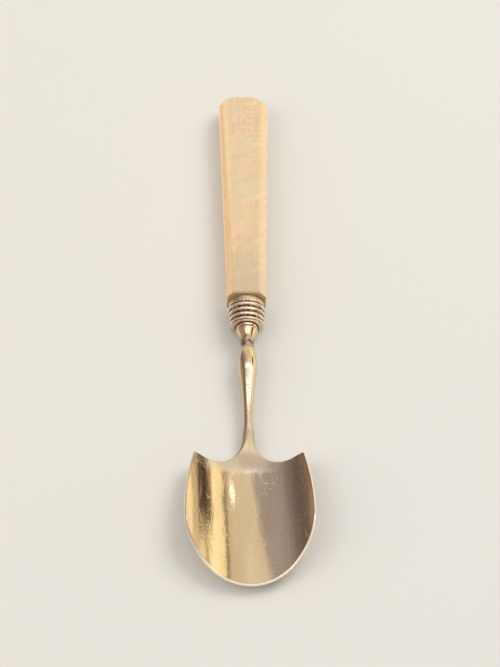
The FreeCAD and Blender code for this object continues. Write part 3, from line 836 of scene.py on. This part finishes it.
def pearl_shell():
    """Mother-of-pearl: cream layers with soft streaks, faint pink and green, and a polish."""
    material, nodes, surface, place = new_material("mother_of_pearl")
    x, y, z = nodes.split(place)
    layers = nodes.stretch(place, (1.0, 0.14, 2.6), 4)
    streaks = nodes.noise(layers, 230.0, detail=5.0, roughness=0.55, distortion=0.8)
    clouds = nodes.use(clouding, Vector=place, Scale=95.0, Contrast=1.5)["Tone"]
    slanted = nodes.stretch(place, (0.30, 1.0, 1.0), -40)
    figure = nodes.noise(slanted, 460.0, detail=4.0, distortion=0.6)
    dappled = nodes.stretch(place, (1.0, 0.6, 1.0), -20)
    mottle = nodes.noise(dappled, 1250.0, detail=4.0, roughness=0.7)

    colour = nodes.ramp(streaks, [
        (0.28, (0.72, 0.47, 0.24)), (0.46, (0.77, 0.55, 0.31)), (0.62, (0.80, 0.60, 0.36)),
        (0.80, (0.84, 0.66, 0.42)),
    ])
    shimmer = nodes.ramp(clouds, [
        (0.25, (0.93, 0.58, 0.44)), (0.5, (0.85, 0.63, 0.39)), (0.72, (0.75, 0.65, 0.47)),
    ])
    colour = nodes.blend(0.50, colour, shimmer)
    dark = nodes.ramp(figure, [(0.50, 0.0), (0.68, 0.40)])
    colour = nodes.blend(dark, colour, (0.66, 0.50, 0.35))
    light = nodes.ramp(figure, [(0.30, 0.40), (0.47, 0.0)])
    colour = nodes.blend(light, colour, (0.96, 0.79, 0.53))

    # Painted light, by shares of the handle's half width at each place: a warm glow along both
    # sides, as if lit through thin shell, and amber light on the upper left side
    half = nodes.total(0.0056, (y, 0.0278))
    outward = nodes.maths("DIVIDE", nodes.maths("ABSOLUTE", x), half)
    leftward = nodes.maths("DIVIDE", nodes.times(x, -1.0), half)
    # Painted glow along both sides
    wall = nodes.between(z, 0.0025, 0.0050, start=0.35)
    painted_edge_glow = nodes.times(nodes.ramp(outward, [(0.52, 0.0), (0.80, 0.60)]), wall)
    colour = nodes.blend(painted_edge_glow, colour, (1.0, 0.73, 0.41))
    # Painted light on the upper left side
    upper = nodes.between(z, 0.0045, 0.0066, start=0.25)
    painted_left_light = nodes.times(nodes.ramp(leftward, [(0.76, 0.0), (0.96, 0.75)]), upper)
    colour = nodes.blend(painted_left_light, colour, (0.95, 0.56, 0.25))

    # Duller towards the ferrule, with a brown joint there, and flecked towards the end
    duller = nodes.times(nodes.between(y, 0.034, 0.004), 0.62)
    duller = nodes.times(duller, nodes.ramp(outward, [(0.50, 1.0), (0.85, 0.2)]))
    colour = nodes.blend(duller, colour, (0.56, 0.43, 0.29))
    joint = nodes.between(y, 0.0069, 0.0057, end=0.75)
    colour = nodes.blend(joint, colour, (0.36, 0.22, 0.11))
    inside = nodes.ramp(outward, [(0.40, 1.0), (0.75, 0.2)])
    flecks = nodes.times(nodes.ramp(mottle, [(0.46, 0.0), (0.68, 1.0)]), inside)
    flecked = nodes.total(0.14, (nodes.between(y, 0.055, 0.080), 0.42))
    colour = nodes.blend(nodes.times(flecks, flecked), colour, (0.96, 0.86, 0.66))

    glance = nodes.add("ShaderNodeLayerWeight").outputs["Facing"]
    lustre = nodes.ramp(glance, [(0.50, 0.0), (0.88, 0.60)])
    tints = nodes.ramp(clouds, [(0.35, (0.95, 0.74, 0.70)), (0.65, (0.80, 0.82, 0.72))])
    colour = nodes.blend(lustre, colour, tints)

    lines = nodes.use(hairlines, Vector=place, Scale=2.0, Amount=0.6)
    rough = nodes.total(0.20, (clouds, 0.14), (lines["Lines"], 0.10))
    normal = nodes.bump(nodes.total(streaks, (figure, 0.7)), 0.35, 0.00015)
    normal = nodes.bump(lines["Height"], 0.25, 0.00001, normal)
    nodes.fill(
        surface, Base_Color=colour, Roughness=rough, Normal=normal, IOR=1.56,
        Coat_Weight=0.8, Coat_Roughness=0.07, Subsurface_Weight=0.12,
        Subsurface_Radius=(0.004, 0.0025, 0.0012), Subsurface_Scale=1.0,
    )
    return material


def old_cement():
    """Grey-brown filling, gritty and dull."""
    material, nodes, surface, place = new_material("tang_filling")
    grit = nodes.noise(place, 2600.0, detail=6.0, roughness=0.7)
    clouds = nodes.use(clouding, Vector=place, Scale=500.0, Contrast=1.4)["Tone"]
    grains = nodes.ramp(grit, [(0.55, 0.0), (0.75, 0.6)])
    colour = nodes.blend(clouds, (0.30, 0.24, 0.18), (0.46, 0.39, 0.31))
    colour = nodes.blend(grains, colour, (0.62, 0.56, 0.48))
    nodes.fill(surface, Base_Color=colour, Roughness=nodes.total(0.7, (grit, 0.2)),
               Normal=nodes.bump(grit, 0.6, 0.00005))
    return material


# Putting the pieces on the frame

handle = make_handle()
handle.data.materials.append(pearl_shell())
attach(handle, "root")
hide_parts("handle")

ferrule = make_ferrule()
ferrule.data.materials.append(old_silver(
    "ferrule_silver", shade=(0.66, 0.54, 0.40), dirt=1.0, dulled=0.12,
    wave=0.00006, grain=0.00040,
))
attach(ferrule, "root")
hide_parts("ferrule")

scoop = make_scoop()
scoop.data.materials.append(old_silver(
    "scoop_silver", shade=(0.72, 0.60, 0.45), dirt=0.9, dulled=0.06,
    wave=0.0002, grain=0.00002,
))
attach(scoop, "root")
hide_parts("scoop")

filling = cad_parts["tang_cement"]
filling.data.materials.clear()
filling.data.materials.append(old_cement())


# Floor, light and camera, in metres

BACKGROUND = (0.90, 0.89, 0.87)
FLOOR_REACH = 3.0
TENT_RADIUS = 1.2
STRIP_RADIUS = 1.1
ARCH_STEPS = 60


def seen_rays(nodes):
    """1 for what the camera sees, directly, mirrored or through something."""
    ways = nodes.add("ShaderNodeLightPath").outputs
    seen = nodes.maths("MAXIMUM", ways["Is Camera Ray"], ways["Is Glossy Ray"])
    return nodes.maths("MAXIMUM", seen, ways["Is Transmission Ray"])


def shine(nodes, colour, strength=1.0):
    return nodes.fill(nodes.add("ShaderNodeEmission"), Color=colour, Strength=strength)[0]


def make_floor():
    """A pale floor that runs into the background far away."""
    mesh = bpy.data.meshes.new("floor")
    corners = [(-1, -1), (1, -1), (1, 1), (-1, 1)]
    mesh.from_pydata([(x * FLOOR_REACH, y * FLOOR_REACH, 0) for x, y in corners],
                     [], [(0, 1, 2, 3)])
    floor = bpy.data.objects.new("floor", mesh)
    bpy.context.scene.collection.objects.link(floor)
    material, nodes, end = empty_material("pale_floor")
    place = nodes.add("ShaderNodeTexCoord").outputs["Object"]
    tone = nodes.use(clouding, Vector=place, Scale=6.0, Contrast=0.5)["Tone"]
    colour = nodes.blend(tone, (0.80, 0.79, 0.77), (0.84, 0.83, 0.81))
    surface = nodes.add("ShaderNodeBsdfPrincipled")
    dull = nodes.fill(surface, Base_Color=colour, Roughness=0.8)["BSDF"]
    distance = nodes.add("ShaderNodeVectorMath", operation="LENGTH")
    nodes.join(place, distance.inputs[0])
    far = nodes.between(distance.outputs["Value"], 0.5, 1.7)
    share = nodes.times(far, seen_rays(nodes))
    nodes.fill(end, Surface=nodes.choose(share, dull, shine(nodes, BACKGROUND)))
    floor.data.materials.append(material)


def make_light(name, place, size, power, colour):
    """A soft square light aimed at the scoop. Metal doesn't mirror it."""
    lamp = bpy.data.lights.new(name, "AREA")
    lamp.shape = "SQUARE"
    lamp.size = size
    lamp.energy = power
    lamp.color = colour
    light = bpy.data.objects.new(name, lamp)
    light.location = place
    light.rotation_euler = (-Vector(place)).to_track_quat("-Z", "Y").to_euler()
    light.visible_glossy = False
    bpy.context.scene.collection.objects.link(light)


def make_world():
    world = bpy.data.worlds.new("studio")
    bpy.context.scene.world = world
    world.use_nodes = True
    world.node_tree.nodes.clear()
    nodes = Nodes(world.node_tree)

    def sky(colour, strength):
        return nodes.fill(nodes.add("ShaderNodeBackground"), Color=colour, Strength=strength)[0]

    light = sky((1.0, 0.99, 0.97), 0.55)
    chosen = nodes.choose(seen_rays(nodes), light, sky(BACKGROUND, 1.0))
    nodes.fill(nodes.add("ShaderNodeOutputWorld"), Surface=chosen)


def make_camera():
    """Looks down at 50 degrees from the blade's side, 600 mm away."""
    aim = Vector((0, -2.65, 0)) * MM
    distance = 0.6
    side, rise, roll = math.radians(2.7), math.radians(50), math.radians(-2.6)
    back = Vector((-math.sin(side) * math.cos(rise), -math.cos(side) * math.cos(rise),
                   math.sin(rise)))
    right = Vector((math.cos(side), -math.sin(side), 0))
    up = back.cross(right)
    turned_right = right * math.cos(roll) - up * math.sin(roll)
    turned_up = right * math.sin(roll) + up * math.cos(roll)
    # In picture points: the picture's size, the focal length and the middle of the view
    width, height = 500, 667
    focal_length, view_middle = 2000, 246.3
    data = bpy.data.cameras.new("camera")
    data.sensor_fit = "VERTICAL"
    data.sensor_height = 24.0
    data.lens = data.sensor_height * focal_length / height
    data.shift_x = (width / 2 - view_middle) / height
    data.clip_start = 0.01
    data.clip_end = 20
    camera = bpy.data.objects.new("camera", data)
    turn = Matrix((turned_right, turned_up, back)).transposed()
    camera.matrix_world = Matrix.Translation(aim + back * distance) @ turn.to_4x4()
    bpy.context.scene.collection.objects.link(camera)
    bpy.context.scene.camera = camera


def make_card(name, points, faces, finish):
    """A studio card that only polished faces see."""
    mesh = bpy.data.meshes.new(name)
    mesh.from_pydata(points, [], faces)
    card = bpy.data.objects.new(name, mesh)
    bpy.context.scene.collection.objects.link(card)
    card.data.materials.append(finish)
    for ray in ("camera", "diffuse", "transmission", "volume_scatter", "shadow"):
        setattr(card, "visible_" + ray, False)


def arch(radius, turns, run):
    """Points and faces of an arch over the scoop. Turns are in degrees from straight up."""
    points, faces = [], []
    for step in range(ARCH_STEPS + 1):
        turn = math.radians(mix(*turns, step / ARCH_STEPS))
        for y in run:
            points.append((radius * math.sin(turn), y, radius * math.cos(turn)))
        if step:
            here = 2 * step
            faces.append((here - 2, here - 1, here + 1, here))
    return points, faces


# Colours of the tent by degrees from straight up, from left to right. The right side has other
# strips nearer the scoop than farther off.
TENT_LEFT = [
    (-90, (0.50, 0.36, 0.25)), (-84, (0.34, 0.25, 0.19)), (-79, (0.20, 0.15, 0.13)),
    (-70, (0.18, 0.14, 0.13)), (-62, (0.24, 0.19, 0.19)), (-48, (0.40, 0.33, 0.33)),
    (-18, (0.49, 0.43, 0.42)), (-15, (0.83, 0.73, 0.56)), (10, (0.90, 0.80, 0.62)),
    (27, (0.82, 0.71, 0.51)), (29.5, (0.48, 0.38, 0.25)), (32, (0.36, 0.27, 0.17)),
    (34, (1.22, 1.03, 0.62)),
]
TENT_NEAR = TENT_LEFT + [
    (46, (1.34, 1.14, 0.72)), (49, (0.30, 0.20, 0.12)), (55, (0.07, 0.05, 0.035)),
    (64, (0.16, 0.11, 0.07)), (68, (0.75, 0.60, 0.36)), (73, (0.80, 0.64, 0.40)),
    (77, (1.35, 1.15, 0.74)), (90, (1.25, 1.02, 0.66)),
]
TENT_FAR = TENT_LEFT + [
    (50, (1.32, 1.12, 0.70)), (55, (1.10, 0.88, 0.52)), (58, (0.52, 0.38, 0.22)),
    (61, (1.10, 0.90, 0.55)), (82, (1.40, 1.18, 0.74)), (90, (0.90, 0.75, 0.52)),
]


def make_tent():
    """An arch of warm and dark strips over the scoop, lengthwise, for the metal to reflect."""
    points, faces = arch(TENT_RADIUS, (-90, 90), (-2.0, 2.5))
    material, nodes, end = empty_material("tent_strips")
    place = nodes.add("ShaderNodeTexCoord").outputs["Object"]
    x, y, z = nodes.split(place)
    unsteady = nodes.maths("SUBTRACT", nodes.noise(place, 2.2, detail=2.0), 0.5)
    turn = nodes.maths("ARCTAN2", x, z)
    share = nodes.total(0.5, (turn, 1 / math.pi), (unsteady, 0.03))
    slant = nodes.times(nodes.maths("SUBTRACT", y, 1.06), 0.27)
    share = nodes.total(share, (slant, nodes.between(share, 0.62, 0.45)))
    shades = []
    for strips in (TENT_NEAR, TENT_FAR):
        stops = [((angle + 90) / 180, colour) for angle, colour in strips]
        shades.append(nodes.ramp(share, stops, smooth_steps=False))
    farther = nodes.between(nodes.maths("ADD", y, unsteady), 0.86, 1.10)
    nodes.fill(end, Surface=shine(nodes, nodes.blend(farther, *shades)))
    make_card("light_tent", points, faces, material)


def make_glint():
    """A small bright oval that puts a glint in the bowl."""
    centre = Vector((0.330, 0.542, 0.790))
    half_width, half_height, count = 0.055, 0.005, 24
    toward = centre.normalized()
    across = (Vector((1, 0, 0)) - toward * toward.x).normalized()
    up = toward.cross(across)
    points = [tuple(centre)]
    for step in range(count):
        turn = 2 * math.pi * step / count
        reach = across * (math.cos(turn) * half_width)
        points.append(tuple(centre + reach + up * (math.sin(turn) * half_height)))
    faces = [(0, 1 + step, 1 + (step + 1) % count) for step in range(count)]
    material, nodes, end = empty_material("glint_disc")
    nodes.fill(end, Surface=shine(nodes, (1.0, 0.93, 0.78), 7))
    make_card("glint_disc", points, faces, material)


def make_strip(name, turns, run, fades, colour, strength):
    """A soft white arch across the view overhead, with the shares where its ends fade."""
    points, faces = arch(STRIP_RADIUS, turns, run)
    material, nodes, end = empty_material(name)
    x, y, _ = nodes.split(nodes.add("ShaderNodeTexCoord").outputs["Generated"])

    def edges(value, first, last):
        return nodes.ramp(value, [(0.0, 0.0), (first, 1.0), (last, 1.0), (1.0, 0.0)])

    share = nodes.times(edges(x, *fades), edges(y, 0.35, 0.65))
    clear = nodes.add("ShaderNodeBsdfTransparent").outputs[0]
    nodes.fill(end, Surface=nodes.choose(share, clear, shine(nodes, colour, strength)))
    make_card(name, points, faces, material)


make_floor()
make_tent()
make_strip("stem_strip", (-42, 88), (0.34, 0.60), (0.30, 0.90), (0.93, 0.96, 1.0), 2.0)
make_strip("cup_strip", (-29, 42), (-0.65, 0.0), (0.35, 0.65), (1.0, 0.95, 0.84), 3.0)
make_glint()
make_light("key", (0.75, 0.60, 0.95), 0.8, 8, (1.0, 0.95, 0.86))
make_light("fill", (-1.0, -0.3, 0.7), 1.2, 6, (1.0, 0.90, 0.76))
make_world()
make_camera()

view = bpy.context.scene.view_settings
view.view_transform = "Standard"
